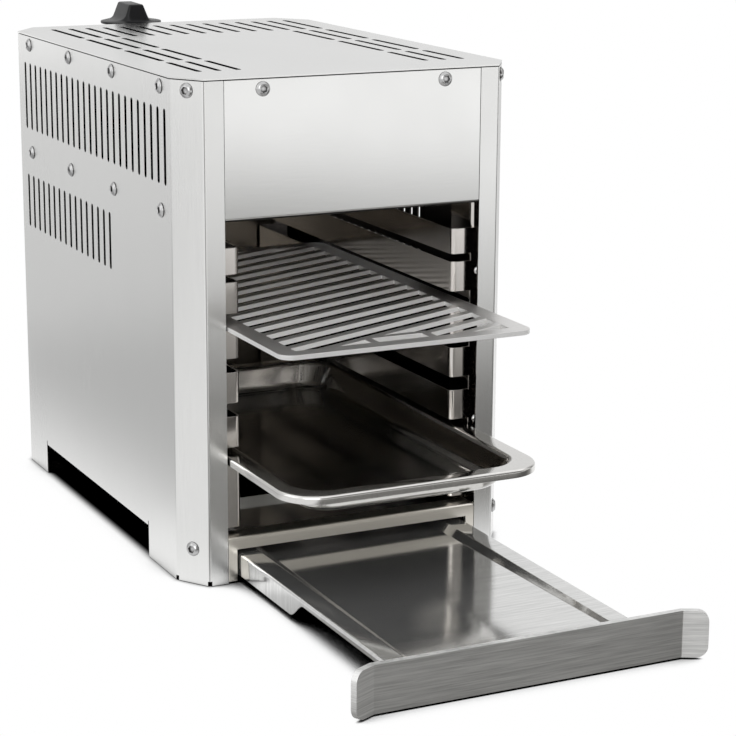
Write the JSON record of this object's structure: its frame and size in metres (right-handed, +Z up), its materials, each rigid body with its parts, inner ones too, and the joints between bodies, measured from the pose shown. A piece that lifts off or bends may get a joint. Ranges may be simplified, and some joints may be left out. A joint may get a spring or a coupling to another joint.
{
  "type": "gas steak grill",
  "caption": "Stainless overhead-fired gas steak grill: folded box body with rack levels, pulled-out grate and tray, drip drawer with bent handle and a rear control knob.",
  "frame": {"origin": "on the floor, at the middle of the bounding box, with the drawer, tray and grate pulled out as in the picture", "axes": "+Z up, front with the drawer faces -Y, +X to the right seen from the front"},
  "size_m": [0.237, 0.639, 0.336],
  "materials": {
    "stainless": "brushed stainless sheet",
    "inner_steel": "bright stainless sheet, heat tinted",
    "brass": "machined brass and copper",
    "tile": "porous ceramic",
    "black_plastic": "matte black heat-proof plastic"
  },
  "bodies": {
    "housing": {"left_side_panel": "stainless", "right_side_panel": "stainless", "lid": "stainless", "rear_panel": "stainless", "front_fascia": "stainless", "drawer_frame": "stainless", "left_rack": "stainless", "right_rack": "stainless", "cavity_rear_wall": "inner_steel", "left_post": "stainless", "right_post": "stainless", "left_runner": "inner_steel", "right_runner": "inner_steel", "left_burner_bracket": "inner_steel", "right_burner_bracket": "inner_steel", "burner_housing": "inner_steel", "burner_tiles": "tile", "mixing_tube": "stainless", "gas_jet": "brass", "gas_pipe": "brass", "valve_bracket": "stainless", "gas_valve": "brass", "valve_nut": "brass", "gas_inlet": "brass", "thermocouple": "brass", "ignition_electrode": "tile", "electrode_clip": "stainless", "ignition_lead": "black_plastic", "panel_screws": "stainless", "panel_nuts": "stainless", "rack_screws": "stainless", "rack_nuts": "stainless", "bracket_screws": "stainless"},
    "grate": {"grate": "stainless"},
    "tray": {"tray": "stainless"},
    "drawer": {"drawer_pan": "stainless", "handle_plate": "stainless", "handle_screws": "stainless"},
    "plug": {"valve_plug": "brass"},
    "knob": {"valve_stem": "stainless", "control_knob": "black_plastic"}
  },
  "joints": [
    {"name": "grate_slide", "type": "slide", "parent": "housing", "child": "grate", "axis": [0, -1, 0], "range_m": [-0.097, 0.2]},
    {"name": "tray_slide", "type": "slide", "parent": "housing", "child": "tray", "axis": [0, -1, 0], "range_m": [-0.105, 0.19]},
    {"name": "drawer_slide", "type": "slide", "parent": "housing", "child": "drawer", "axis": [0, -1, 0], "range_m": [-0.229, 0.09]},
    {"name": "knob_turn", "type": "hinge", "parent": "housing", "child": "plug", "pos_m": [-0.011, 0.29652, 0.3], "axis": [0, 0, 1], "range_deg": [0, 210]},
    {"name": "knob_press", "type": "slide", "parent": "plug", "child": "knob", "axis": [0, 0, -1], "range_m": [0, 0.0035]}
  ]
}
